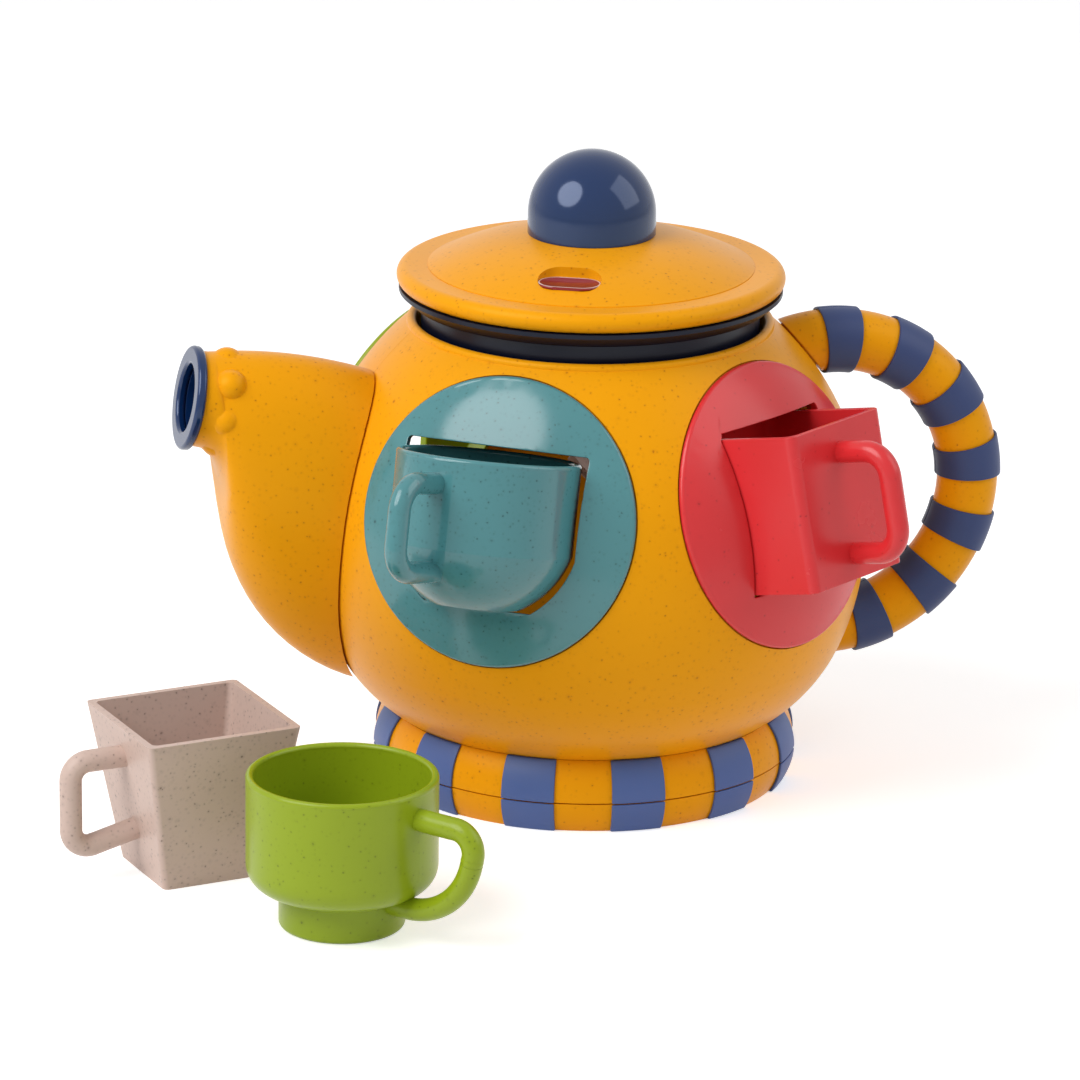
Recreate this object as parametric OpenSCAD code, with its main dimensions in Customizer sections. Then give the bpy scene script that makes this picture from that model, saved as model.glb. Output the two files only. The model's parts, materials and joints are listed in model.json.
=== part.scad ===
// Toy teapot: a round belly in two half shells, a pelican-shaped spout, a ringed handle, a ringed base,
// a plug lid with a ball knob, and four cups that post through the four plates in the belly.
// Millimetres, +Z up, origin on the table under the belly's centre, spout towards -X, handle towards +X.

/* [Belly] */
// radius of the round belly, outside
belly_radius = 86.5; // [80:0.5:94]
// thickness of the belly's wall
belly_wall = 3.4; // [2.8:0.1:4.2]
// radius of the mouth under the lid
mouth_radius = 53.4; // [48:0.2:56]

/* [Plates] */
// radius of each round plate
plate_radius = 43.7; // [42.5:0.1:44.5]
// angle of each plate's middle away from straight ahead or straight back
plate_turn = 36.5; // [35:0.5:38]
// angle that each plate looks up
plate_tilt = 16.5; // [14:0.5:19]
// free space between a cup and its slot, each side
slot_clearance = 1.5; // [0.8:0.1:2.2]

/* [Cups] */
// radius of the round-bottomed cup
teal_cup_radius = 27.8; // [25:0.2:28.4]
// width of the square cup
red_cup_width = 44.5; // [38:0.5:46]
// radius of the footed cup's rim
green_cup_radius = 28.2; // [25:0.2:28.6]
// width of the tapered square cup's rim
beige_cup_width = 49; // [42:0.2:49]
// height of the round-bottomed cup; the others follow it
cup_height = 46; // [42:0.5:48]
// thickness of the cups' walls
cup_wall = 2.2; // [1.8:0.1:2.8]

/* [Spout] */
// distance from the pot's axis to the mouth ring's middle
spout_reach = 125.5; // [118:0.5:136]
// height of the mouth ring's middle
spout_height = 127; // [122:0.5:130]
// radius of the mouth ring, outside
spout_ring_radius = 16; // [14.5:0.2:18]

/* [Handle] */
// radius of the handle's bend, to the middle of its tube
handle_bend = 46.3; // [44:0.2:50]
// radius of the handle's tube
handle_tube = 9.5; // [8:0.1:10.5]

/* [Base] */
// radius of the base ring where it is widest
base_radius = 65.4; // [61:0.2:69]

/* [Lid] */
// radius of the lid, outside
lid_radius = 59.7; // [57:0.2:63]
// radius of the knob's ball
knob_radius = 19.7; // [17:0.2:22]

/* [Hidden] */
$fn = 64;
fine_facets = 72;
tube_facets = 40;
rod_facets = 24;
hull_facets = 32;
// hairline between pieces that close on each other
hairline = 0.1;
// how far a cutting tool runs past what it cuts
over = 1;

// belly, its axis upright
belly_centre = belly_radius * 0.9075;
belly_low_radius = belly_radius * 0.578;
belly_low_angle = 22.8;
belly_low_x = (belly_radius - belly_low_radius) * cos(belly_low_angle);
belly_low_z = belly_centre - (belly_radius - belly_low_radius) * sin(belly_low_angle);
belly_join_z = belly_centre - belly_radius * sin(belly_low_angle);
belly_floor = belly_radius * 0.1965;
belly_floor_hole = belly_radius * 0.4624;
lip_roll = 1.6;
lip_wall = 2.2;
lip_z = belly_centre + sqrt(pow(belly_radius, 2) - pow(mouth_radius + 2 * lip_roll, 2)) + lip_roll / 5;
mouth_top = lip_z + lip_roll;
mouth_depth = 15.4;
ledge_top = mouth_top - mouth_depth;
ledge_height = 2;
ledge_reach = 3.4;

// plates, in a frame whose Z looks out of the belly
plate_proud = 1.1;
plate_thickness = 2.6;
plate_outer = belly_radius + plate_proud;
plate_inner = plate_outer - plate_thickness;
plate_fit = 0.3;
plate_edge = plate_thickness / 2;
plate_overlap = 1.7;
window_radius = plate_radius - plate_overlap;
collar_fit = 0.2;
collar_radius = window_radius - collar_fit;
collar_wall = 1.8;
collar_tail = 2.8;
belly_inner = belly_radius - belly_wall;
collar_low = sqrt(pow(belly_inner, 2) - pow(collar_radius, 2)) - collar_tail;
collar_end = sqrt(pow(plate_inner + plate_edge, 2) - pow(collar_radius, 2));
hook_reach = 1.3;
hook_height = 1.5;
hook_angle = 24;
hooks = 4;
plate_turn_teal = plate_turn;
plate_turn_red = -plate_turn;
plate_turn_green = 180 - plate_turn;
plate_turn_beige = 180 + plate_turn;

// cups, each in its own frame: standing at 0, handle towards +X
teal_height = cup_height * 0.98;
red_height = cup_height * 1.04;
green_height = cup_height * 1.012;
beige_height = cup_height * 1.042;
slot_headroom = 3.3;
red_slot_headroom = 2.4;
slot_corner = 1.2;
slot_footroom = 0.55;
teal_curve = teal_cup_radius * 1.04;
teal_curve_z = sqrt(pow(teal_curve, 2) - pow(teal_cup_radius * 0.5, 2));
red_corner = 3;
green_foot_radius = green_cup_radius * 0.66;
green_foot_height = green_height * 0.25;
green_foot_round = cup_wall * 0.7;
green_shoulder = green_cup_radius * 0.27;
green_loop_reach = 12.9;
beige_foot_width = beige_cup_width * 0.68;
beige_corner = 1.8;
cup_floor = cup_wall * 1.2;
cup_rim = (cup_wall + hairline) / 2;
rod = 3.35;
teal_rod_high = teal_height * 0.82;
teal_rod_low = teal_height * 0.235;
teal_loop_reach = 20.6;
teal_loop_yaw = -11.5;
red_rod_high = red_height * 0.81;
red_rod_low = red_height * 0.16;
red_loop_reach = 17;
loop_corner = 8;
beige_rod_high = beige_height * 0.79;
beige_rod_low = beige_height * 0.238;
beige_loop_corner = 5.6;
beige_loop_slope = 13;

// how the cups stand: two posted half way, two loose on the table
teal_slot_shift = -1.35;
teal_slot_foot = -26;
red_slot_shift = -0.6;
red_slot_foot = -23.9;
green_slot_foot = -25;
beige_slot_foot = -25.5;
teal_slot_clearance = slot_clearance * 1.13;
teal_cup_shift = -1.4;
red_cup_shift = -1.7;
teal_cup_out = belly_radius * 0.9665;
red_cup_out = belly_radius * 0.941;
teal_cup_droop = 3;
red_cup_droop = 4;
green_cup_x = -105;
green_cup_y = -121.2;
green_cup_turn = -50;
beige_cup_x = -137.6;
beige_cup_y = -63.8;
beige_cup_turn = 191.9;

// spout
spout_lean = 10.5;
spout_wall = 2.4;
ring_half = 1.5;
ring_hole = spout_ring_radius * 0.644;
ring_round = 1.1;
neck_radius = spout_ring_radius * 0.9;
neck_steps = 5;
bore_length = 18;
bag_front = spout_reach * 0.942;
bag_top = spout_height * 1.1095;
bag_end = belly_radius * 0.647;
bag_arc = 142;
bag_low_x = belly_radius * 0.6815;
bag_half_length = spout_reach * 0.4543;
bag_low_z = belly_radius * 1.067;
bag_depth = belly_radius * 0.7036;
bag_square = 1.05;
bag_half_width = 26;
bag_start_width = spout_ring_radius * 1.01;
bag_keel = 0.45;
bag_steps = 18;
bag_points = 44;
chin_drop = 15;
nub_radius = 5.2;
nub_ring = 11.9;
nub_back = 9.5;
nubs = 7;
egg_top = 17;
egg_rise = 26.5;
egg_top_z = belly_centre + egg_rise;
egg_low = 6;
egg_fall = 27.5;
egg_low_z = belly_centre - egg_fall;
egg_wall = 2;
egg_fit = 0.3;
egg_reach = 4;
// the flanks cut the two rounds just inside their tangents, so that the section stays one clean outline
egg_chord_share = 0.998;

// handle, in the XZ plane
handle_x = belly_radius * 0.892;
handle_z = belly_radius * 1.014;
handle_wall = 2.5;
handle_start = -100;
handle_end = 114;
tenon_step = 1.7;
tenon_radius = handle_tube - tenon_step;
tenon_fit = 0.25;
tenon_reach = 6;
bands = 7;
band_first = 87.5;
band_step = 26.8;
band_width = 13.4;
band_proud = 0.9;
band_gap = 0.05;

// base, turned about Z
base_arc = 18;
base_arc_x = base_radius - base_arc;
base_arc_z = 10.5;
base_seam = 9.8;
base_seam_gap = 0.4;
base_wall = 2.6;
base_lap = 5.5;
base_top = belly_floor + base_lap;
base_floor_top = belly_floor - hairline;
base_floor = 2.6;
base_band_angle = 14.6;
base_band_step = 30;
screw_ring = belly_radius * 0.52;
screws = 4;
screw_turn = 45;
boss_radius = 4.2;
boss_height = 13;
post_radius = 5.2;
screw_shaft = 1.5;
screw_hole = screw_shaft + hairline;
screw_pass = screw_shaft + 4 * hairline;
screw_head = 3.1;
screw_head_height = 2.4;
screw_sink = 8;
screw_tip_gap = 1.5;

// lid
plug_fit = 1.4;
plug_radius = mouth_radius - plug_fit;
plug_wall = 2.2;
plug_low = ledge_top + hairline;
lid_gap = 5.5;
flange_low = mouth_top + lid_gap;
flange_height = 4.5;
flange_top = flange_low + flange_height;
flange_inset = 0.7;
flange_radius = lid_radius - flange_inset;
flange_edge = 1.3;
flange_slope = 3.6;
flange_low_radius = flange_radius - flange_slope;
flange_thickness = 2.4;
cover_low = flange_top + hairline;
rim_round = 3.1;
rim_top = cover_low + 2 * rim_round;
cover_wall = 2.4;
dome_radius = lid_radius * 0.841;
dome_arc = 113.5;
dome_rise = 11.9;
dome_top = rim_top + dome_rise;
dome_centre = dome_top - dome_arc;
cover_pocket = lid_radius * 0.9;
spigot_height = 2.6;
lid_boss = 4.5;
lid_screw_head = 3.4;
lid_screw_hole = 1.9;
knob_rise = 4.4;
knob_centre = dome_top + knob_rise;
knob_wall = 2.6;
knob_post_top = knob_centre + knob_radius - knob_wall;
lid_screw_reach = 9;
lid_screw_tip = dome_top + lid_screw_reach;
badge_turn = 24.8;
badge_out = lid_radius * 0.634;
badge_end = 6;
badge_half = 3.7;
badge_rise = 3.2;
badge_floor = rim_top + badge_rise;
badge_thickness = 0.9;
badge_pad = 2;

// the belly's filled profile, grown outwards: a round, with its underside cut to a tighter round
module belly_profile(grow) {
    difference() {
        translate([0, belly_centre])
            circle(r = belly_radius + grow, $fn = fine_facets);
        difference() {
            translate([0, belly_join_z - 4 * belly_radius])
                square([4 * belly_radius, 4 * belly_radius]);
            translate([belly_low_x, belly_low_z])
                circle(r = belly_low_radius + grow, $fn = fine_facets);
            translate([0, belly_low_z - belly_low_radius - grow])
                square([belly_low_x, 2 * belly_low_radius]);
        }
        translate([-4 * belly_radius, -belly_radius])
            square([4 * belly_radius, 4 * belly_radius]);
    }
}

module belly_solid(grow) {
    rotate_extrude($fn = fine_facets)
        belly_profile(grow);
}

module belly_shell_profile() {
    difference() {
        belly_profile(0);
        difference() {
            belly_profile(-belly_wall);
            square([belly_radius, belly_floor + belly_wall]);
        }
        square([belly_floor_hole, belly_floor + belly_wall]);
        translate([0, -belly_radius])
            square([2 * belly_radius, belly_radius + belly_floor]);
        translate([0, lip_z])
            square([2 * belly_radius, belly_radius]);
        translate([0, belly_centre])
            square([mouth_radius, belly_radius]);
    }
    translate([mouth_radius + lip_roll, lip_z])
        circle(r = lip_roll);
    translate([mouth_radius, ledge_top - ledge_height])
        square([lip_wall, lip_z - ledge_top + ledge_height]);
    translate([mouth_radius - ledge_reach, ledge_top - ledge_height])
        square([ledge_reach + lip_wall, ledge_height]);
}

// puts a child made about Z on a plate's axis
module on_plate(turn) {
    translate([0, 0, belly_centre])
        rotate([90 - plate_tilt, 0, -turn])
            children();
}

module plate_seat(turn) {
    on_plate(turn) {
        cylinder(r = window_radius, h = 2 * belly_radius);
        intersection() {
            cylinder(r = plate_radius + plate_fit, h = 2 * belly_radius);
            difference() {
                sphere(r = belly_radius + 4 * belly_wall);
                sphere(r = plate_inner - hairline);
            }
        }
    }
}

module egg(grow) {
    rise = (egg_top - egg_low) / (egg_top_z - egg_low_z);
    run = sqrt(1 - pow(rise, 2));
    high = (egg_top + grow) * egg_chord_share;
    low = (egg_low + grow) * egg_chord_share;
    translate([0, egg_top_z])
        circle(r = egg_top + grow);
    translate([0, egg_low_z])
        circle(r = egg_low + grow);
    polygon([[high * run, egg_top_z - high * rise], [low * run, egg_low_z - low * rise],
             [-low * run, egg_low_z - low * rise], [-high * run, egg_top_z - high * rise]]);
}

// a bar of the egg section from the pot's middle out past the spout's back
module egg_bar(grow) {
    rotate([90, 0, -90])
        linear_extrude(height = belly_radius + spout_wall + over)
            egg(grow);
}

module base_bosses(r, z, h) {
    for (i = [0 : screws - 1])
        rotate([0, 0, screw_turn + i * 360 / screws])
            translate([screw_ring, 0, z])
                cylinder(r = r, h = h, $fn = 32);
}

// a stretch of the handle's tube as a solid bar
module handle_bar(r, start, end) {
    translate([handle_x, 0, handle_z])
        rotate([90, 0, 0])
            rotate([0, 0, start])
                rotate_extrude(angle = end - start, $fn = fine_facets)
                    translate([handle_bend, 0])
                        circle(r = r, $fn = tube_facets);
}

// keeps the part of a child in front of (side -1) or behind (side 1) the seam plane
module half_of(side) {
    intersection() {
        children();
        translate([0, side * (hairline / 2 + 2 * belly_radius), belly_centre])
            cube([8 * belly_radius, 4 * belly_radius, 8 * belly_radius], center = true);
    }
}

module body_half(side, turn_a, turn_b) {
    difference() {
        union() {
            half_of(side)
                rotate_extrude($fn = fine_facets)
                    belly_shell_profile();
            half_of(side)
                base_bosses(boss_radius, belly_floor, boss_height);
        }
        plate_seat(turn_a);
        plate_seat(turn_b);
        egg_bar(egg_fit);
        handle_bar(tenon_radius + tenon_fit, handle_start, handle_end);
        base_bosses(screw_hole, belly_floor - over, boss_height + over - screw_tip_gap / 2);
    }
}

module body_front() {
    color([0.93, 0.62, 0.10])
        body_half(-1, plate_turn_teal, plate_turn_red);
}

module body_back() {
    color([0.93, 0.62, 0.10])
        body_half(1, plate_turn_green, plate_turn_beige);
}

// a domed plate about Z, before its slot is cut
module plate_blank() {
    rotate_extrude($fn = fine_facets) {
        difference() {
            circle(r = plate_outer, $fn = fine_facets);
            circle(r = plate_inner, $fn = fine_facets);
            translate([-4 * plate_outer, -2 * plate_outer])
                square([4 * plate_outer, 4 * plate_outer]);
            translate([plate_radius - plate_edge, -2 * plate_outer])
                square([2 * plate_outer, 4 * plate_outer]);
            translate([0, -2 * plate_outer])
                square([plate_outer, 2 * plate_outer]);
        }
        translate([plate_radius - plate_edge,
                   sqrt(pow(plate_inner + plate_edge, 2) - pow(plate_radius - plate_edge, 2))])
            circle(r = plate_edge, $fn = 24);
        intersection() {
            translate([collar_radius - collar_wall, collar_low])
                square([collar_wall, collar_end - collar_low]);
            circle(r = plate_inner + plate_edge, $fn = fine_facets);
        }
    }
    for (i = [0 : hooks - 1])
        rotate([0, 0, screw_turn + i * 360 / hooks - hook_angle / 2])
            rotate_extrude(angle = hook_angle)
                translate([collar_radius - collar_wall / 2, collar_low])
                    square([collar_wall / 2 + hook_reach, hook_height]);
}

module plate(turn, shift, foot) {
    on_plate(turn)
        difference() {
            plate_blank();
            translate([shift, foot, 0])
                linear_extrude(height = 2 * belly_radius)
                    children();
        }
}

// the strip along a slot's upper edge, with its two corners rounded
module slot_corners(half, top, corner) {
    if (corner > 0) {
        translate([corner - half, top - 2 * corner])
            square([2 * (half - corner), 2 * corner]);
        for (hand = [-1, 1])
            translate([hand * (half - corner), top - corner])
                circle(r = corner, $fn = rod_facets);
    }
}

// the cups' side views, standing on the X axis, grown by the slot's free space
module teal_outline(grow) {
    top = teal_height + (grow > 0 ? slot_headroom : 0);
    low = teal_curve_z;
    corner = grow > 0 ? slot_corner : 0;
    intersection() {
        union() {
            translate([-teal_cup_radius - grow, 0])
                square([2 * (teal_cup_radius + grow), top - corner]);
            slot_corners(teal_cup_radius + grow, top, corner);
        }
        union() {
            translate([0, low])
                circle(r = teal_curve + grow, $fn = fine_facets);
            translate([-2 * teal_cup_radius, low])
                square([4 * teal_cup_radius, teal_height]);
        }
    }
}

module red_outline(grow) {
    half = red_cup_width / 2 + grow;
    top = red_height + (grow > 0 ? red_slot_headroom : 0);
    corner = grow > 0 ? slot_corner : 0;
    translate([-half, 0])
        square([2 * half, top - corner]);
    slot_corners(half, top, corner);
}

module green_outline(grow) {
    top = green_height + (grow > 0 ? slot_headroom : 0);
    side = green_cup_radius + grow;
    shoulder = green_foot_height + green_shoulder;
    translate([-green_foot_radius - grow, 0])
        square([2 * (green_foot_radius + grow), top]);
    translate([-side, shoulder - grow])
        square([2 * side, top - shoulder + grow]);
    for (hand = [-1, 1])
        translate([hand * (side - green_shoulder), shoulder - grow])
            circle(r = green_shoulder);
}

module beige_outline(grow) {
    top = beige_height + (grow > 0 ? slot_headroom : 0);
    wide = beige_cup_width / 2 + grow;
    narrow = beige_foot_width / 2 + grow;
    polygon([[-narrow, 0], [narrow, 0], [wide, beige_height], [wide, top], [-wide, top],
             [-wide, beige_height]]);
}

module plate_teal() {
    color([0.36, 0.60, 0.62])
        plate(plate_turn_teal, teal_slot_shift, teal_slot_foot)
            teal_outline(teal_slot_clearance);
}

module plate_red() {
    color([0.86, 0.25, 0.25])
        plate(plate_turn_red, red_slot_shift, red_slot_foot)
            red_outline(slot_clearance);
}

module plate_green() {
    color([0.58, 0.65, 0.18])
        plate(plate_turn_green, 0, green_slot_foot)
            green_outline(slot_clearance);
}

module plate_beige() {
    color([0.82, 0.72, 0.66])
        plate(plate_turn_beige, 0, beige_slot_foot)
            beige_outline(slot_clearance);
}

// a straight piece of handle rod between two points of the XZ plane
module rod_between(x1, z1, x2, z2) {
    translate([x1, 0, z1])
        rotate([0, 90 - atan2(z2 - z1, x2 - x1), 0])
            cylinder(r = rod, h = sqrt(pow(x2 - x1, 2) + pow(z2 - z1, 2)), $fn = 32);
}

// a bend of handle rod in the XZ plane
module rod_bend(x, z, r, start, end) {
    translate([x, 0, z])
        rotate([90, 0, 0])
            rotate([0, 0, start])
                rotate_extrude(angle = end - start, $fn = tube_facets)
                    translate([r, 0])
                        circle(r = rod, $fn = rod_facets);
}

// a squared loop handle from a wall out to the loop's reach, its lower arm rising to the wall by a slope
module square_loop(wall_high, wall_low, high, low, reach, corner, slope) {
    elbow_x = reach - corner - corner * sin(slope);
    elbow_z = low + corner - corner * cos(slope);
    rod_between(wall_high, high, reach - corner, high);
    rod_bend(reach - corner, high - corner, corner, 0, 90);
    rod_between(reach, high - corner, reach, low + corner);
    rod_bend(reach - corner, low + corner, corner, -90 - slope, 0);
    if (slope > 0)
        translate([elbow_x, 0, elbow_z])
            sphere(r = rod + hairline / 2);
    rod_between(wall_low, elbow_z + (elbow_x - wall_low) * tan(slope), elbow_x, elbow_z);
}

// the full round along a spun cup's rim
module round_rim(radius, height) {
    rotate_extrude($fn = fine_facets)
        translate([radius - cup_wall / 2, height - cup_rim])
            circle(r = cup_rim);
}

module teal_cup_standing() {
    difference() {
        union() {
            rotate_extrude($fn = fine_facets)
                intersection() {
                    teal_outline(0);
                    square([teal_curve, teal_height - cup_rim]);
                }
            rotate([0, 0, teal_loop_yaw])
                square_loop(teal_cup_radius - cup_wall, teal_cup_radius - 2 * cup_wall,
                            teal_rod_high, teal_rod_low,
                            teal_cup_radius + teal_loop_reach - rod, loop_corner, 0);
        }
        rotate_extrude($fn = fine_facets)
            intersection() {
                translate([0, cup_floor])
                    square([teal_cup_radius - cup_wall, teal_height]);
                union() {
                    translate([0, teal_curve_z])
                        circle(r = teal_curve - cup_wall, $fn = fine_facets);
                    translate([0, teal_curve_z])
                        square([teal_curve, teal_height]);
                }
                square([teal_curve, 2 * teal_height]);
            }
    }
    round_rim(teal_cup_radius, teal_height);
}

module rounded_square(width, corner) {
    square([width, width - 2 * corner], center = true);
    square([width - 2 * corner, width], center = true);
    for (x = [-1, 1])
        for (y = [-1, 1])
            translate([x * (width / 2 - corner), y * (width / 2 - corner)])
                circle(r = corner, $fn = 32);
}

module red_cup_standing() {
    difference() {
        union() {
            linear_extrude(height = red_height)
                rounded_square(red_cup_width, red_corner);
            square_loop(red_cup_width / 2 - cup_wall, red_cup_width / 2 - cup_wall,
                        red_rod_high, red_rod_low, red_cup_width / 2 + red_loop_reach,
                        loop_corner, 0);
        }
        translate([0, 0, cup_floor])
            linear_extrude(height = red_height)
                rounded_square(red_cup_width - 2 * cup_wall, red_corner);
    }
}

module green_cup_standing() {
    shoulder = green_foot_height + green_shoulder;
    high = green_height * 0.82;
    bend = green_cup_radius * 0.22;
    sweep = green_cup_radius * 0.83;
    slope = -12;
    drop = 2;
    bend_x = green_cup_radius + green_loop_reach;
    bend_z = high - bend;
    knee_x = bend_x + bend * cos(slope);
    knee_z = bend_z + bend * sin(slope);
    sweep_x = knee_x + drop * sin(slope) - sweep * cos(slope);
    sweep_z = knee_z - drop * cos(slope) - sweep * sin(slope);
    difference() {
        union() {
            translate([0, 0, green_foot_round])
                cylinder(r = green_foot_radius, h = shoulder - green_foot_round);
            translate([0, 0, shoulder])
                cylinder(r = green_cup_radius, h = green_height - cup_rim - shoulder);
            rotate_extrude($fn = fine_facets) {
                translate([green_foot_radius - green_foot_round, green_foot_round])
                    circle(r = green_foot_round, $fn = rod_facets);
                square([green_foot_radius - green_foot_round, 2 * green_foot_round]);
                translate([green_cup_radius - green_shoulder, shoulder])
                    circle(r = green_shoulder);
                translate([0, green_foot_height])
                    square([green_cup_radius - green_shoulder, green_shoulder]);
            }
            rod_between(green_cup_radius - cup_wall, high, bend_x, high);
            rod_bend(bend_x, bend_z, bend, slope, 90);
            translate([knee_x + drop / 2 * sin(slope), 0, knee_z - drop / 2 * cos(slope)])
                sphere(r = rod + hairline / 2);
            rod_bend(sweep_x, sweep_z, sweep, -90, slope);
            rod_between(green_foot_radius - cup_wall, sweep_z - sweep, sweep_x, sweep_z - sweep);
        }
        translate([0, 0, shoulder])
            cylinder(r = green_cup_radius - cup_wall, h = green_height);
        rotate_extrude($fn = fine_facets) {
            translate([green_cup_radius - green_shoulder, shoulder])
                circle(r = green_shoulder - cup_wall);
            translate([0, green_foot_height + cup_wall])
                square([green_cup_radius - green_shoulder, green_shoulder]);
        }
        translate([0, 0, -over])
            cylinder(r = green_foot_radius - cup_wall, h = green_foot_height + over - cup_wall / 2);
    }
    round_rim(green_cup_radius, green_height);
}

// a four-sided tapered block with rounded corners
module tapered_block(low_width, high_width, corner, z1, z2) {
    slab = 0.2;
    hull() {
        for (x = [-1, 1])
            for (y = [-1, 1]) {
                translate([x * (low_width / 2 - corner), y * (low_width / 2 - corner), z1])
                    cylinder(r = corner, h = slab, $fn = hull_facets);
                translate([x * (high_width / 2 - corner), y * (high_width / 2 - corner), z2 - slab])
                    cylinder(r = corner, h = slab, $fn = hull_facets);
            }
    }
}

module beige_cup_standing() {
    flare = (beige_cup_width - beige_foot_width) / beige_height;
    difference() {
        union() {
            tapered_block(beige_foot_width, beige_cup_width, beige_corner, 0, beige_height);
            square_loop((beige_foot_width + flare * beige_rod_high) / 2 - cup_wall,
                        (beige_foot_width + flare * beige_rod_low) / 2 - cup_wall,
                        beige_rod_high, beige_rod_low, beige_cup_width * 0.806,
                        beige_loop_corner, beige_loop_slope);
        }
        tapered_block(beige_foot_width - 2 * cup_wall + flare * cup_floor,
                      beige_cup_width - 2 * cup_wall + flare * over,
                      beige_corner, cup_floor, beige_height + over);
    }
}

// lays a standing cup into a slot: its foot down the plate, its handle straight out
module posted(turn, shift, foot, out, droop) {
    on_plate(turn)
        translate([shift, foot + slot_footroom, out])
            rotate([droop, 0, 0])
                rotate([-90, -90, 0])
                    children();
}

module cup_teal() {
    color([0.33, 0.58, 0.60])
        posted(plate_turn_teal, teal_cup_shift, teal_slot_foot, teal_cup_out, teal_cup_droop)
            teal_cup_standing();
}

module cup_red() {
    color([0.86, 0.25, 0.25])
        posted(plate_turn_red, red_cup_shift, red_slot_foot, red_cup_out, red_cup_droop)
            red_cup_standing();
}

module cup_green() {
    color([0.58, 0.65, 0.18])
        translate([green_cup_x, green_cup_y, 0])
            rotate([0, 0, green_cup_turn])
                green_cup_standing();
}

module cup_beige() {
    color([0.82, 0.72, 0.66])
        translate([beige_cup_x, beige_cup_y, 0])
            rotate([0, 0, beige_cup_turn])
                beige_cup_standing();
}

// the spout's skin: sections from the mouth (share -1) over the neck (0) to inside the belly (1)
function mouth_point(up, back) =
    [-spout_reach + back * cos(spout_lean) + up * sin(spout_lean),
     spout_height - back * sin(spout_lean) + up * cos(spout_lean)];

function bent(a, b, c, t) = a * pow(1 - t, 2) + b * 2 * t * (1 - t) + c * pow(t, 2);

function bag_top_at(share, inset) =
    share < 0
    ? let (t = share + 1, a = mouth_point(neck_radius, ring_half), b = [-bag_front, bag_top])
      [a[0] + (b[0] - a[0]) * t, a[1] + (b[1] - a[1]) * t - inset]
    : let (x = bag_front + (bag_end - bag_front) * share)
      [-x, bag_top - pow(bag_front - x, 2) / (2 * bag_arc) - inset];

function bag_low_at(share, inset) =
    let (front = bag_low_x + bag_half_length)
    share < 0
    ? let (p = bent(mouth_point(-neck_radius, ring_half), [-front, spout_height - chin_drop],
                    [-front, bag_low_z], share + 1))
      [p[0] + inset * (share + 1), p[1] + inset * -share]
    : [-bag_low_x - (bag_half_length - inset) * pow(cos(90 * share), bag_square),
       bag_low_z - (bag_depth - inset) * pow(sin(90 * share), bag_square)];

function bag_width_at(share, inset) =
    share < 0
    ? neck_radius + (bag_start_width - neck_radius) * (share + 1) - inset
    : bag_start_width + (bag_half_width - bag_start_width) * sin(90 * share) - inset;

function bag_point(share, inset, t) =
    let (high = bag_top_at(share, inset), low = bag_low_at(share, inset),
         middle = (high + low) / 2, up = (high - low) / 2,
         keel = 1 - bag_keel * max(0, share) * pow(max(0, -sin(t)), 2))
    [middle[0] + up[0] * sin(t), bag_width_at(share, inset) * cos(t) * keel,
     middle[1] + up[1] * sin(t)];

module bag(inset, first) {
    shares = [for (i = [first : neck_steps - 1]) i / neck_steps - 1,
              for (i = [0 : bag_steps]) i / bag_steps];
    rings = len(shares);
    last = (rings - 1) * bag_points;
    points = [for (share = shares) for (j = [0 : bag_points - 1])
              bag_point(share, inset, 360 * j / bag_points)];
    skin = [for (i = [0 : rings - 2]) for (j = [0 : bag_points - 1])
            let (a = i * bag_points + j, b = i * bag_points + (j + 1) % bag_points)
            each [[a, a + bag_points, b], [b, a + bag_points, b + bag_points]]];
    near_end = [[for (j = [0 : bag_points - 1]) j]];
    far_end = [[for (j = [0 : bag_points - 1]) last + bag_points - 1 - j]];
    polyhedron(points = points, faces = concat(skin, near_end, far_end));
}

// puts a child made about Z on the spout mouth's axis, Z towards the pot
module at_mouth() {
    translate([-spout_reach, 0, spout_height])
        rotate([0, 90 + spout_lean, 0])
            children();
}

module spout() {
    color([0.93, 0.62, 0.10])
        difference() {
            union() {
                difference() {
                    union() {
                        bag(0, 0);
                        for (i = [0 : nubs - 1])
                            at_mouth()
                                rotate([0, 0, 180 + i * 360 / nubs])
                                    translate([nub_ring, 0, nub_back])
                                        sphere(r = nub_radius, $fn = 24);
                    }
                    belly_solid(plate_edge / 2);
                    difference() {
                        bag(spout_wall, 3);
                        belly_solid(spout_wall);
                    }
                }
                intersection() {
                    egg_bar(0);
                    belly_solid(spout_wall);
                    difference() {
                        translate([-2 * belly_radius, -belly_radius, 0])
                            cube([2 * belly_radius, 2 * belly_radius, 2 * belly_radius]);
                        belly_solid(-belly_wall - egg_reach);
                    }
                }
            }
            egg_bar(-egg_wall);
            at_mouth()
                translate([0, 0, -over])
                    cylinder(r = ring_hole, h = bore_length);
        }
}

module spout_ring() {
    color([0.13, 0.20, 0.36])
        at_mouth()
            rotate_extrude($fn = fine_facets)
                difference() {
                    union() {
                        translate([ring_hole, ring_round - ring_half])
                            square([spout_ring_radius - ring_hole, 2 * (ring_half - ring_round)]);
                        translate([ring_hole + ring_round, -ring_half])
                            square([spout_ring_radius - ring_hole - 2 * ring_round, 2 * ring_half]);
                        for (x = [ring_hole + ring_round, spout_ring_radius - ring_round])
                            for (z = [-1, 1])
                                translate([x, z * (ring_half - ring_round)])
                                    circle(r = ring_round, $fn = 32);
                    }
                    translate([0, ring_half - hairline])
                        square([neck_radius, ring_half]);
                }
}

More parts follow.
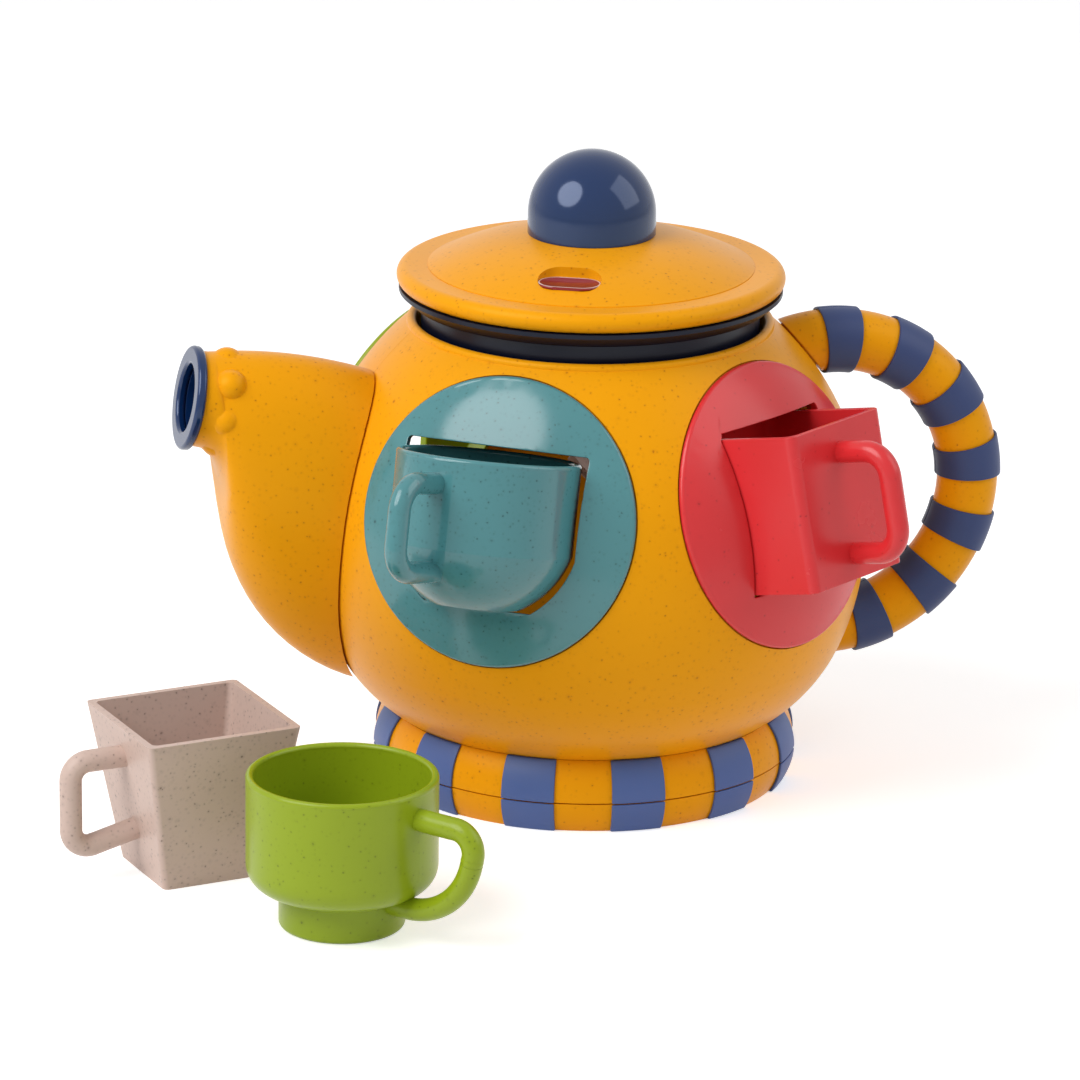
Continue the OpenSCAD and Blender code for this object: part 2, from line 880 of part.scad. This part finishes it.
module handle_half(side) {
    difference() {
        union() {
            half_of(side)
                difference() {
                    handle_bar(handle_tube, handle_start, handle_end);
                    belly_solid(plate_edge / 2);
                }
            half_of(side)
                difference() {
                    handle_bar(tenon_radius, handle_start, handle_end);
                    belly_solid(-tenon_reach);
                }
        }
        handle_bar(handle_tube - handle_wall, handle_start - over, handle_end + over);
    }
}

module handle_front() {
    color([0.93, 0.62, 0.10])
        handle_half(-1);
}

module handle_back() {
    color([0.93, 0.62, 0.10])
        handle_half(1);
}

module handle_band(number) {
    middle = band_first - (number - 1) * band_step;
    color([0.20, 0.27, 0.42])
        for (side = [-1, 1])
            half_of(side)
                difference() {
                    handle_bar(handle_tube + band_proud, middle - band_width / 2, middle + band_width / 2);
                    handle_bar(handle_tube + band_gap, middle - band_width, middle + band_width);
                }
}

module handle_band_1() { handle_band(1); }
module handle_band_2() { handle_band(2); }
module handle_band_3() { handle_band(3); }
module handle_band_4() { handle_band(4); }
module handle_band_5() { handle_band(5); }
module handle_band_6() { handle_band(6); }
module handle_band_7() { handle_band(7); }

// the base ring's section between two arcs, from one height to another, cut clear of the belly
module base_skin(outer, inner, low, high) {
    difference() {
        translate([base_arc_x, base_arc_z])
            circle(r = outer, $fn = fine_facets);
        translate([base_arc_x, base_arc_z])
            circle(r = inner, $fn = fine_facets);
        translate([-belly_radius, -belly_radius])
            square([belly_radius + base_arc_x, 3 * belly_radius]);
        translate([-belly_radius, -belly_radius])
            square([4 * belly_radius, belly_radius + low]);
        translate([-belly_radius, high])
            square([4 * belly_radius, belly_radius]);
        belly_profile(hairline);
    }
}

module base_ring_upper() {
    floor_reach = base_arc_x + sqrt(pow(base_arc - base_wall / 2, 2) - pow(base_floor_top - base_arc_z, 2));
    color([0.93, 0.62, 0.10])
        difference() {
            rotate_extrude($fn = fine_facets) {
                base_skin(base_arc, base_arc - base_wall, base_seam + base_seam_gap / 2, base_top);
                translate([0, base_floor_top - base_floor])
                    square([floor_reach, base_floor]);
            }
            base_bosses(screw_pass, 0, belly_floor + over);
        }
}

module base_ring_lower() {
    foot_reach = base_arc_x + sqrt(pow(base_arc, 2) - pow(base_arc_z, 2)) - base_wall / 2;
    post_top = base_floor_top - base_floor - hairline;
    color([0.93, 0.62, 0.10])
        difference() {
            union() {
                rotate_extrude($fn = fine_facets) {
                    base_skin(base_arc, base_arc - base_wall, 0, base_seam - base_seam_gap / 2);
                    square([foot_reach, base_floor]);
                }
                base_bosses(post_radius, 0, post_top);
            }
            base_bosses(screw_pass, -over, post_top + 2 * over);
            base_bosses(screw_head + 4 * hairline, -over, screw_sink + over);
        }
}

module base_band(number) {
    turn = number * base_band_step - base_band_angle / 2;
    color([0.20, 0.27, 0.42])
        rotate([0, 0, turn])
            rotate_extrude(angle = base_band_angle, $fn = fine_facets) {
                base_skin(base_arc + band_proud, base_arc + band_gap,
                          base_seam + base_seam_gap / 2, base_top);
                base_skin(base_arc + band_proud, base_arc + band_gap,
                          0, base_seam - base_seam_gap / 2);
            }
}

module base_band_1() { base_band(1); }
module base_band_2() { base_band(2); }
module base_band_3() { base_band(3); }
module base_band_4() { base_band(4); }
module base_band_5() { base_band(5); }
module base_band_6() { base_band(6); }
module base_band_7() { base_band(7); }
module base_band_8() { base_band(8); }
module base_band_9() { base_band(9); }
module base_band_10() { base_band(10); }
module base_band_11() { base_band(11); }
module base_band_12() { base_band(12); }

module base_screws() {
    tip = belly_floor + boss_height - screw_tip_gap;
    color([0.70, 0.70, 0.72]) {
        base_bosses(screw_shaft, screw_sink - screw_head_height, tip - screw_sink + screw_head_height);
        base_bosses(screw_head, screw_sink - screw_head_height - hairline, screw_head_height);
    }
}

module lid_plug() {
    color([0.13, 0.20, 0.36])
        difference() {
            rotate_extrude($fn = fine_facets) {
                translate([plug_radius - plug_wall, plug_low])
                    square([plug_wall, flange_top - plug_low]);
                translate([0, flange_top - flange_thickness])
                    square([plug_radius, flange_thickness]);
                polygon([[plug_radius - plug_wall, flange_low], [flange_low_radius, flange_low],
                         [flange_radius, flange_top - flange_edge], [flange_radius, flange_top],
                         [plug_radius - plug_wall, flange_top]]);
                translate([cover_pocket - cover_wall, flange_top - flange_thickness])
                    square([cover_wall - hairline, flange_thickness + spigot_height]);
                translate([0, flange_top - flange_thickness])
                    square([lid_boss, dome_top - cover_wall - hairline - flange_top + flange_thickness]);
            }
            translate([0, 0, flange_low])
                cylinder(r = lid_screw_hole, h = dome_top - flange_low, $fn = 32);
        }
}

// the stadium outline of the badge, grown
module badge_outline(grow) {
    for (side = [-1, 1])
        translate([side * badge_half, 0])
            circle(r = badge_end + grow, $fn = tube_facets);
    square([2 * badge_half, 2 * (badge_end + grow)], center = true);
}

module at_badge(z) {
    rotate([0, 0, -badge_turn])
        translate([0, -badge_out, z])
            children();
}

// the dome's filled profile, grown outwards
module dome_profile(grow) {
    difference() {
        translate([0, dome_centre])
            circle(r = dome_arc + grow, $fn = fine_facets);
        translate([-4 * dome_arc, -4 * dome_arc])
            square([4 * dome_arc, 8 * dome_arc]);
        translate([0, -4 * dome_arc])
            square([4 * dome_arc, 4 * dome_arc + cover_low]);
        translate([dome_radius + grow, 0])
            square([4 * dome_arc, 4 * dome_arc]);
    }
}

module lid_cover() {
    color([0.93, 0.62, 0.10])
        difference() {
            union() {
                rotate_extrude($fn = fine_facets)
                    difference() {
                        union() {
                            dome_profile(0);
                            translate([0, cover_low])
                                square([lid_radius - rim_round, 2 * rim_round]);
                            translate([lid_radius - rim_round, cover_low + rim_round])
                                circle(r = rim_round);
                        }
                        dome_profile(-cover_wall);
                        square([cover_pocket, rim_top - cover_wall]);
                    }
                intersection() {
                    at_badge(badge_floor - badge_pad)
                        linear_extrude(height = dome_top)
                            badge_outline(badge_pad);
                    rotate_extrude($fn = fine_facets)
                        dome_profile(-cover_wall / 2);
                }
            }
            at_badge(badge_floor)
                linear_extrude(height = dome_top)
                    badge_outline(0);
            translate([0, 0, cover_low])
                cylinder(r = lid_screw_hole, h = dome_top, $fn = 32);
        }
}

module lid_badge() {
    color([0.62, 0.12, 0.12])
        at_badge(badge_floor + hairline / 2)
            linear_extrude(height = badge_thickness)
                badge_outline(-hairline);
}

module lid_knob() {
    color([0.13, 0.20, 0.36])
        difference() {
            union() {
                difference() {
                    union() {
                        translate([0, 0, knob_centre])
                            sphere(r = knob_radius, $fn = fine_facets);
                        translate([0, 0, dome_top - cover_wall])
                            cylinder(r = knob_radius, h = knob_centre - dome_top + cover_wall);
                    }
                    translate([0, 0, knob_centre])
                        sphere(r = knob_radius - knob_wall, $fn = fine_facets);
                    translate([0, 0, dome_top - 2 * cover_wall])
                        cylinder(r = knob_radius - knob_wall,
                                 h = knob_centre - dome_top + 2 * cover_wall);
                }
                translate([0, 0, dome_top - cover_wall])
                    cylinder(r = lid_boss, h = knob_post_top + knob_wall / 2 - dome_top + cover_wall);
            }
            translate([0, 0, dome_centre])
                sphere(r = dome_arc + hairline, $fn = fine_facets);
            translate([0, 0, dome_top - cover_wall])
                cylinder(r = screw_hole, h = lid_screw_tip + screw_tip_gap - dome_top + cover_wall,
                         $fn = 32);
            translate([0, 0, dome_centre - dome_arc])
                cylinder(r = 2 * lid_radius, h = 2 * dome_arc - 2 * cover_wall - screw_tip_gap);
        }
}

module lid_screw() {
    low = flange_top - flange_thickness - hairline;
    color([0.70, 0.70, 0.72]) {
        translate([0, 0, low])
            cylinder(r = screw_shaft, h = lid_screw_tip - low, $fn = 32);
        translate([0, 0, low - screw_head_height])
            cylinder(r = lid_screw_head, h = screw_head_height, $fn = 32);
    }
}

body_front();
body_back();
plate_teal();
plate_red();
plate_green();
plate_beige();
cup_teal();
cup_red();
cup_green();
cup_beige();
spout();
spout_ring();
handle_front();
handle_back();
handle_band_1();
handle_band_2();
handle_band_3();
handle_band_4();
handle_band_5();
handle_band_6();
handle_band_7();
base_ring_upper();
base_ring_lower();
base_band_1();
base_band_2();
base_band_3();
base_band_4();
base_band_5();
base_band_6();
base_band_7();
base_band_8();
base_band_9();
base_band_10();
base_band_11();
base_band_12();
base_screws();
lid_plug();
lid_cover();
lid_badge();
lid_knob();
lid_screw();
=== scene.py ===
import json
import math

import bmesh
import bpy
from mathutils import Matrix, Vector


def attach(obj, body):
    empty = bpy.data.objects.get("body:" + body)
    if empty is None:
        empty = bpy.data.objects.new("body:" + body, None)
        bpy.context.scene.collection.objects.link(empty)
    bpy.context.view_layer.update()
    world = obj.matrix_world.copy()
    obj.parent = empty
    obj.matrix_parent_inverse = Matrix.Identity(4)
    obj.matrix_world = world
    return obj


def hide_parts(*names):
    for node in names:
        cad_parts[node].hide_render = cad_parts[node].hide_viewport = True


MM = 0.001

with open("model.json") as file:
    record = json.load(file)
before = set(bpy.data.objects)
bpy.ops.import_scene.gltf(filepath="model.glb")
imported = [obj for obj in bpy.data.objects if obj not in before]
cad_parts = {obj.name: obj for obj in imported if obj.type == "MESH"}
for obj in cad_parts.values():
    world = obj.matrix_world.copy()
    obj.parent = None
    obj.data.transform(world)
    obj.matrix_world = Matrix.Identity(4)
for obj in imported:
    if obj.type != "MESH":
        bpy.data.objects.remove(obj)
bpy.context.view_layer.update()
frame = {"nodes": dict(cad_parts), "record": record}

# colours, written as six-digit swatches
ORANGE = "F2A20E"
ORANGE_FLECK = "A24816"
TEAL = "4B888D"
TEAL_FLECK = "16343A"
RED = "DC3034"
RED_FLECK = "8C1418"
GREEN = "92A61A"
GREEN_FLECK = "505C08"
BEIGE = "CFB6AA"
BEIGE_FLECK = "5A4440"
NAVY = "0C2854"
# painted shade: the lid plug's navy, darkened for the shadow it sits in under the lid
PLUG_PAINTED_SHADE = "060E22"
BAND = "354470"
# painted light: the same band blue as the handle, made lighter for the light the base bands get
# from the floor and front
BASE_BAND_PAINTED_LIGHT = "4F66A0"
BADGE = "8A1E28"
BADGE_EDGE = "E4C9C4"
ZINC = "B4B6BA"
FLOOR = "F6F6F6"
NO_TINT = (1.0, 1.0, 1.0, 1.0)
WARM_TINT = (1.0, 0.7, 0.22, 1.0)
COOL_TINT = (0.66, 0.76, 1.0, 1.0)

# ground fibre in the plastic: scales are per metre, radii a share of a cell
FINE_FLECKS = {"scale": 640, "radius": 0.22, "share": 1.15}
COARSE_FLECKS = {"scale": 235, "radius": 0.13, "share": 0.8}
DOT_CORE = 0.35
HAZE_REACH = 2.1
HAZE_CORE = 0.4
HAZE_TONE = 0.3
FAINTEST_DOT = 0.12
DARKEST_DOT = 0.75
PULL_SCALE = 900
PULL_REACH = 0.0007
CROWD_SCALE = 28
CLOUD_SCALE = 45
PEEL_SCALE = 260
GROUND_DRIFT = 0.06
ROUGHNESS_DRIFT = 0.08
DOT_RELIEF = -0.6

# surface relief, as bump distances in metres
BUMP_STRENGTH = 0.35
EVEN_PEEL = 0.00001
MOULD_PEEL = 0.00003
ROUGH_PEEL = 0.00006

# moulded edges, in millimetres and degrees
PLATE_EDGE = 0.45
PLATE_WELD = 0.3
CUP_EDGE = 0.4
CUP_SHORTEST = 0.4
STRIPE_EDGE = 0.35
SPOUT_EDGE = 0.12
RING_EDGE = 0.3
WELD = 0.01
CLOSE = 0.005
SHARP = 38
ROUND_STEPS = 2
NORMAL_WEIGHT = 60
HANDLE_STRIPES = 7
BASE_STRIPES = 12
NECK_BORE = 13.2
LINING_DEPTH = 14.0

# the badge and the screws, in millimetres and degrees
BADGE_FLAT = 4
BADGE_RIM = 0.55
BADGE_SLOPE = 0.12
BADGE_SINK = 0.3
RECESS_SPAN = 3.4
RECESS_WIDTH = 0.9
RECESS_DEPTH = 1.1
RECESS_TURN = 20

# the studio
TABLE_HALF = 6.0
TABLE_GLOW = 0.5
ROOM_LIGHT = 0.32
LIT_POINT = (0.0, 0.0, 0.10)
SENSOR = 36.0
LENS = 215.4
CAMERA_PLACE = (-0.4960, -1.8512, 0.6720)
CAMERA_AIM = (-0.0160, -0.0035, 0.0757)
CAMERA_ROLL = 0.747


def swatch(code):
    """A six-digit swatch as linear red, green, blue and full alpha."""
    parts = [int(code[i:i + 2], 16) / 255 for i in (0, 2, 4)]
    return [c / 12.92 if c <= 0.04045 else ((c + 0.055) / 1.055) ** 2.4 for c in parts] + [1.0]


# shader building blocks

def node(tree, kind, inputs, **settings):
    """A new node with its settings, and its sockets linked or set to a plain value."""
    made = tree.nodes.new(kind)
    for key, value in settings.items():
        setattr(made, key, value)
    for label, value in inputs.items():
        if isinstance(value, bpy.types.NodeSocket):
            tree.links.new(value, made.inputs[label])
        else:
            made.inputs[label].default_value = value
    return made


def figure(tree, operation, *values):
    """The outcome of a math node fed with links or numbers."""
    inputs = dict(enumerate(values))
    return node(tree, "ShaderNodeMath", inputs, operation=operation).outputs["Value"]


def cloudy(tree, place, scale, detail):
    return node(tree, "ShaderNodeTexNoise", {"Vector": place, "Scale": scale, "Detail": detail})


def fleck_layer(group, place, chance, scale, radius, share):
    """Dots of one size, each with a soft haze, in the cells that chance picks."""
    cells = node(group, "ShaderNodeTexVoronoi", {"Scale": scale, "Vector": place}, feature="F1")
    dot = node(group, "ShaderNodeMapRange",
               {"Value": cells.outputs["Distance"], "From Min": radius,
                "From Max": radius * DOT_CORE})
    haze = node(group, "ShaderNodeMapRange",
                {"Value": cells.outputs["Distance"], "From Min": radius * HAZE_REACH,
                 "From Max": radius * HAZE_CORE, "To Max": HAZE_TONE})
    spot = figure(group, "MAXIMUM", dot.outputs["Result"], haze.outputs["Result"])
    pick = node(group, "ShaderNodeSeparateColor", {"Color": cells.outputs["Color"]})
    kept = figure(group, "LESS_THAN", pick.outputs["Red"],
                  figure(group, "MULTIPLY", chance, share))
    tone = node(group, "ShaderNodeMapRange",
                {"Value": pick.outputs["Green"], "To Min": FAINTEST_DOT, "To Max": DARKEST_DOT})
    seen = figure(group, "MULTIPLY", spot, kept)
    return figure(group, "MULTIPLY", seen, tone.outputs["Result"])


def fleck_group():
    """Ground plant fibre in moulded plastic: two sizes of fleck, and a drift of the ground."""
    group = bpy.data.node_groups.new("fibre_flecks", "ShaderNodeTree")
    for label, kind in (("Ground", "NodeSocketColor"), ("Fleck", "NodeSocketColor"),
                        ("Amount", "NodeSocketFloat"), ("Roughness", "NodeSocketFloat")):
        group.interface.new_socket(label, in_out="INPUT", socket_type=kind)
    for label, kind in (("Color", "NodeSocketColor"), ("Roughness", "NodeSocketFloat"),
                        ("Height", "NodeSocketFloat")):
        group.interface.new_socket(label, in_out="OUTPUT", socket_type=kind)
    inlet = node(group, "NodeGroupInput", {})
    place = node(group, "ShaderNodeTexCoord", {}).outputs["Object"]

    # the fibres lie every way, so each cell is pulled out of round
    pull = cloudy(group, place, PULL_SCALE, 2)
    pulled = node(group, "ShaderNodeVectorMath",
                  {0: pull.outputs["Color"], 1: (PULL_REACH,) * 3, 2: place},
                  operation="MULTIPLY_ADD").outputs["Vector"]

    # the fibre gathers in some places of the moulding
    crowd = cloudy(group, place, CROWD_SCALE, 2)
    chance = figure(group, "MULTIPLY", crowd.outputs["Fac"], inlet.outputs["Amount"])
    mask = figure(group, "MAXIMUM", fleck_layer(group, pulled, chance, **FINE_FLECKS),
                  fleck_layer(group, pulled, chance, **COARSE_FLECKS))

    cloud = cloudy(group, place, CLOUD_SCALE, 4)
    swing = figure(group, "SUBTRACT", cloud.outputs["Fac"], 0.5)
    drift = figure(group, "MULTIPLY_ADD", swing, GROUND_DRIFT, 1.0)
    toned = node(group, "ShaderNodeHueSaturation",
                 {"Color": inlet.outputs["Ground"], "Value": drift})
    mix = node(group, "ShaderNodeMix",
               {"Factor": mask, "A": toned.outputs["Color"], "B": inlet.outputs["Fleck"]},
               data_type="RGBA")
    rough = figure(group, "MULTIPLY_ADD", swing, ROUGHNESS_DRIFT, inlet.outputs["Roughness"])
    peel = cloudy(group, place, PEEL_SCALE, 1)
    relief = figure(group, "MULTIPLY_ADD", mask, DOT_RELIEF, peel.outputs["Fac"])
    node(group, "NodeGroupOutput",
         {"Color": mix.outputs["Result"], "Roughness": rough, "Height": relief})
    return group


FLECKS = fleck_group()


def base_material(name):
    made = bpy.data.materials.new(name)
    made.use_nodes = True
    return made, made.node_tree, made.node_tree.nodes["Principled BSDF"]


def fibre_plastic(name, ground, roughness, gloss=0.5, fleck=None, amount=0.0,
                  tint=NO_TINT, peel=MOULD_PEEL, metallic=0.0):
    """A moulded finish. Without a fleck colour it is plain."""
    made, tree, shader = base_material(name)
    grain = node(tree, "ShaderNodeGroup", {}, node_tree=FLECKS)
    grain.inputs["Ground"].default_value = swatch(ground)
    grain.inputs["Fleck"].default_value = swatch(fleck or ground)
    grain.inputs["Amount"].default_value = amount
    grain.inputs["Roughness"].default_value = roughness
    relief = node(tree, "ShaderNodeBump",
                  {"Strength": BUMP_STRENGTH, "Distance": peel, "Height": grain.outputs["Height"]})
    tree.links.new(grain.outputs["Color"], shader.inputs["Base Color"])
    tree.links.new(grain.outputs["Roughness"], shader.inputs["Roughness"])
    tree.links.new(relief.outputs["Normal"], shader.inputs["Normal"])
    shader.inputs["Specular IOR Level"].default_value = gloss
    shader.inputs["Specular Tint"].default_value = tint
    shader.inputs["Metallic"].default_value = metallic
    return made


NAVY_PLASTIC = fibre_plastic("navy_plastic", NAVY, 0.12, 0.6, tint=COOL_TINT, peel=EVEN_PEEL)
BADGE_TRIM = fibre_plastic("badge_trim", BADGE_EDGE, 0.35)

FINISHES = {
    "orange_plastic": fibre_plastic("orange_fibre_plastic", ORANGE, 0.34, 0.22, ORANGE_FLECK,
                                    0.85, WARM_TINT),
    "teal_plastic": fibre_plastic("teal_fibre_plastic", TEAL, 0.16, 0.5, TEAL_FLECK, 1.1),
    "red_plastic": fibre_plastic("red_fibre_plastic", RED, 0.26, 0.4, RED_FLECK, 0.2),
    "green_plastic": fibre_plastic("green_fibre_plastic", GREEN, 0.3, 0.3, GREEN_FLECK, 0.8),
    "beige_plastic": fibre_plastic("beige_fibre_plastic", BEIGE, 0.42, 0.3, BEIGE_FLECK, 3.0),
    "navy_plastic": NAVY_PLASTIC,
    "band_blue": fibre_plastic("band_plastic", BAND, 0.45, 0.3, peel=ROUGH_PEEL),
    "badge_red": fibre_plastic("badge_plastic", BADGE, 0.3),
    "screw_steel": fibre_plastic("zinc_steel", ZINC, 0.35, metallic=1.0),
}
# painted shade: a darker, less glossy copy of the navy for the plug in the shadow under the lid
PLUG_PAINTED_SHADE_PLASTIC = fibre_plastic("plug_painted_shade_plastic", PLUG_PAINTED_SHADE, 0.35, 0.25, peel=EVEN_PEEL)
# painted light: a lighter copy of the band blue for the base bands, lit from the floor and front
BASE_BAND_PAINTED_LIGHT_PLASTIC = fibre_plastic("base_band_plastic", BASE_BAND_PAINTED_LIGHT, 0.45, 0.3, peel=ROUGH_PEEL)

SLOT_OF = {part["node"]: part["material_slot"] for part in frame["record"]["subparts"]}
BODY_OF = {name: body for body, names in frame["record"]["behaviour"]["bodies"].items()
           for name in names}


def finish_of(name):
    """A node's finish from its slot in the record; the lid plug takes a darkened navy, painted
    shade, and the base bands a lightened band blue, painted light.
    """
    # painted shade: the plug's navy is darkened for the shadow under the lid
    if name == "lid_plug":
        return PLUG_PAINTED_SHADE_PLASTIC
    # painted light: the base bands' blue is lightened for the light from the floor and front
    if name.startswith("base_band_"):
        return BASE_BAND_PAINTED_LIGHT_PLASTIC
    return FINISHES[SLOT_OF[name]]


for name in SLOT_OF:
    materials = frame["nodes"][name].data.materials
    materials.clear()
    materials.append(finish_of(name))


# moulded edges: copies of the nodes with the small rounds that a mould leaves

def linked_object(name, data):
    made = bpy.data.objects.new(name, data)
    bpy.context.scene.collection.objects.link(made)
    return made


def mesh_object(shape, name):
    """The finished bmesh as an object in the scene, at the origin."""
    mesh = bpy.data.meshes.new(name)
    shape.to_mesh(mesh)
    shape.free()
    return linked_object(name, mesh)


def merged_copy(name, weld=WELD, flat=0.6):
    """A node's shape with its triangles joined again into whole faces."""
    shape = bmesh.new()
    shape.from_mesh(frame["nodes"][name].data)
    bmesh.ops.remove_doubles(shape, verts=shape.verts, dist=weld * MM)
    bmesh.ops.dissolve_limit(shape, angle_limit=math.radians(flat),
                             verts=shape.verts, edges=shape.edges)
    return shape


def stand_in(shape, piece_name, name):
    """The finished shape as a piece that takes the node's place, finish and body."""
    made = mesh_object(shape, piece_name)
    made.data.materials.append(finish_of(name))
    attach(made, BODY_OF[name])
    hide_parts(name)
    return made


def turns_sharply(edge):
    return len(edge.link_faces) == 2 and edge.calc_face_angle(0.0) > math.radians(SHARP)


def rounded_piece(name, piece_name, edge, weld=WELD, flat=0.6, shortest=0.0):
    """A copy whose sharp edges are rounded over. A shortest length leaves out
    the shorter edges and the inner corners."""
    shape = merged_copy(name, weld, flat)
    sharp = [e for e in shape.edges if turns_sharply(e)
             and (e.is_convex or not shortest) and e.calc_length() > shortest * MM]
    bmesh.ops.bevel(shape, geom=sharp, offset=edge * MM, offset_type="OFFSET", affect="EDGES",
                    segments=ROUND_STEPS, profile=0.5, material=-1, clamp_overlap=False,
                    loop_slide=False)
    bmesh.ops.remove_doubles(shape, verts=shape.verts, dist=CLOSE * MM)
    for face in shape.faces:
        face.smooth = True
    for corner in shape.edges:
        corner.smooth = not turns_sharply(corner)
    made = stand_in(shape, piece_name, name)
    even = made.modifiers.new("even_light", "WEIGHTED_NORMAL")
    even.keep_sharp = True
    even.weight = NORMAL_WEIGHT
    return made


def line_mouth(shell):
    """The spout's wall just inside its mouth takes the ring's own blue."""
    ring = frame["nodes"]["spout_ring"].data
    middle = sum((v.co for v in ring.vertices), Vector()) / len(ring.vertices)
    axis = sum((face.normal * face.area for face in ring.polygons if face.normal.x < -0.8),
               Vector()).normalized()
    shape = bmesh.new()
    shape.from_mesh(shell.data)
    bmesh.ops.bisect_plane(shape, geom=shape.verts[:] + shape.edges[:] + shape.faces[:],
                           dist=0.001 * MM, plane_co=middle - axis * LINING_DEPTH * MM,
                           plane_no=axis)
    for face in shape.faces:
        reach = face.calc_center_median() - middle
        outward = reach - axis * reach.dot(axis)
        near = reach.dot(axis) > -LINING_DEPTH * MM and outward.length < NECK_BORE * MM
        if near and face.normal.dot(outward) < 0:
            face.material_index = 1
    shape.to_mesh(shell.data)
    shape.free()
    shell.data.materials.append(NAVY_PLASTIC)


for colour in ("teal", "red", "green", "beige"):
    rounded_piece("plate_" + colour, colour + "_shape_plate", PLATE_EDGE, PLATE_WELD)
rounded_piece("cup_red", "red_square_cup", CUP_EDGE, flat=0.05, shortest=CUP_SHORTEST)
rounded_piece("cup_beige", "beige_tapered_cup", CUP_EDGE, shortest=CUP_SHORTEST)
for count in range(1, HANDLE_STRIPES + 1):
    rounded_piece("handle_band_%d" % count, "handle_stripe_%d" % count, STRIPE_EDGE)
for count in range(1, BASE_STRIPES + 1):
    rounded_piece("base_band_%d" % count, "base_stripe_%d" % count, STRIPE_EDGE)
line_mouth(rounded_piece("spout", "spout_shell", SPOUT_EDGE))
rounded_piece("spout_ring", "spout_mouth_ring", RING_EDGE)


def blank_badge():
    """The lid's oval badge, left blank: a pale edge round a sunk dark field."""
    shape = merged_copy("lid_badge", flat=BADGE_FLAT)
    top = [face for face in shape.faces if face.normal.z > 0.7]
    edge = bmesh.ops.inset_region(shape, faces=top, thickness=BADGE_RIM * MM, depth=0.0,
                                  use_even_offset=True)
    for face in edge["faces"]:
        face.material_index = 1
    bmesh.ops.inset_region(shape, faces=top, thickness=BADGE_SLOPE * MM,
                           depth=-BADGE_SINK * MM, use_even_offset=True)
    made = stand_in(shape, "blank_lid_badge", "lid_badge")
    made.data.materials.append(BADGE_TRIM)


def cross_head_screws(name, piece_name):
    """The screws with a cross recess sunk in each head's flat face, which looks down."""
    shape = merged_copy(name)
    flats = [face for face in shape.faces if face.normal.z < -0.95]
    lowest = min(face.calc_center_median().z for face in flats)
    heads = [face.calc_center_median() for face in flats
             if face.calc_center_median().z < lowest + 0.1 * MM]
    made = stand_in(shape, piece_name, name)
    size = Matrix.Diagonal((RECESS_SPAN * MM, RECESS_WIDTH * MM, 2 * RECESS_DEPTH * MM, 1.0))
    cutters = []
    for turn in (RECESS_TURN, RECESS_TURN + 90):
        blade = bmesh.new()
        for head in heads:
            place = Matrix.Translation(head) @ Matrix.Rotation(math.radians(turn), 4, "Z")
            bmesh.ops.create_cube(blade, size=1.0, matrix=place @ size)
        cutter = mesh_object(blade, "recess_blade")
        cut = made.modifiers.new("recess", "BOOLEAN")
        cut.operation = "DIFFERENCE"
        cut.object = cutter
        cutters.append(cutter)
    bpy.context.view_layer.update()
    graph = bpy.context.evaluated_depsgraph_get()
    finished = bpy.data.meshes.new_from_object(made.evaluated_get(graph))
    made.modifiers.clear()
    made.data = finished
    for cutter in cutters:
        bpy.data.objects.remove(cutter)


blank_badge()
cross_head_screws("base_screws", "base_screws_cross_head")
cross_head_screws("lid_screw", "lid_screw_cross_head")


# the table, the light and the camera

def seen_rays(tree):
    """1 for the rays that show the background: straight, mirrored or through something."""
    path = node(tree, "ShaderNodeLightPath", {})
    seen = figure(tree, "MAXIMUM", path.outputs["Is Camera Ray"], path.outputs["Is Glossy Ray"])
    return figure(tree, "MAXIMUM", seen, path.outputs["Is Transmission Ray"])


def table_top():
    sheet = bmesh.new()
    bmesh.ops.create_grid(sheet, x_segments=1, y_segments=1, size=TABLE_HALF)
    made = mesh_object(sheet, "table_top")
    paint, tree, shader = base_material("table_paint")
    shader.inputs["Base Color"].default_value = swatch(FLOOR)
    shader.inputs["Roughness"].default_value = 0.6
    shader.inputs["Specular IOR Level"].default_value = 0.2
    lift = figure(tree, "MULTIPLY", seen_rays(tree), TABLE_GLOW)
    glow = node(tree, "ShaderNodeEmission", {"Strength": lift})
    both = node(tree, "ShaderNodeAddShader",
                {0: shader.outputs["BSDF"], 1: glow.outputs["Emission"]})
    tree.links.new(both.outputs["Shader"], tree.nodes["Material Output"].inputs["Surface"])
    made.data.materials.append(paint)


def room():
    world = bpy.data.worlds.new("studio")
    bpy.context.scene.world = world
    world.use_nodes = True
    tree = world.node_tree
    sky = tree.nodes["Background"]
    sky.inputs["Color"].default_value = (1.0, 1.0, 1.0, 1.0)
    level = node(tree, "ShaderNodeMapRange",
                 {"Value": seen_rays(tree), "To Min": ROOM_LIGHT, "To Max": 1.0})
    tree.links.new(level.outputs["Result"], sky.inputs["Strength"])


def softbox(name, place, wide, high, power, shape):
    lamp = bpy.data.lights.new(name, "AREA")
    lamp.shape = shape
    lamp.size = wide
    lamp.size_y = high
    lamp.energy = power
    made = linked_object(name, lamp)
    made.location = place
    aim = Vector(LIT_POINT) - Vector(place)
    made.rotation_euler = aim.to_track_quat("-Z", "Y").to_euler()


def camera():
    lens = bpy.data.cameras.new("camera")
    lens.sensor_width = SENSOR
    lens.lens = LENS
    lens.clip_start = 0.05
    made = linked_object("camera", lens)
    place = Vector(CAMERA_PLACE)
    turn = (Vector(CAMERA_AIM) - place).to_track_quat("-Z", "Y").to_matrix().to_4x4()
    roll = Matrix.Rotation(math.radians(CAMERA_ROLL), 4, "Z")
    made.matrix_world = Matrix.Translation(place) @ turn @ roll
    bpy.context.scene.camera = made


table_top()
room()
softbox("key", (-0.90, -0.34, 0.98), 1.0, 1.0, 13.0, "ELLIPSE")
softbox("fill", (1.05, -0.45, 0.95), 1.0, 1.1, 6.0, "RECTANGLE")
camera()
bpy.context.scene.view_settings.view_transform = "Standard"
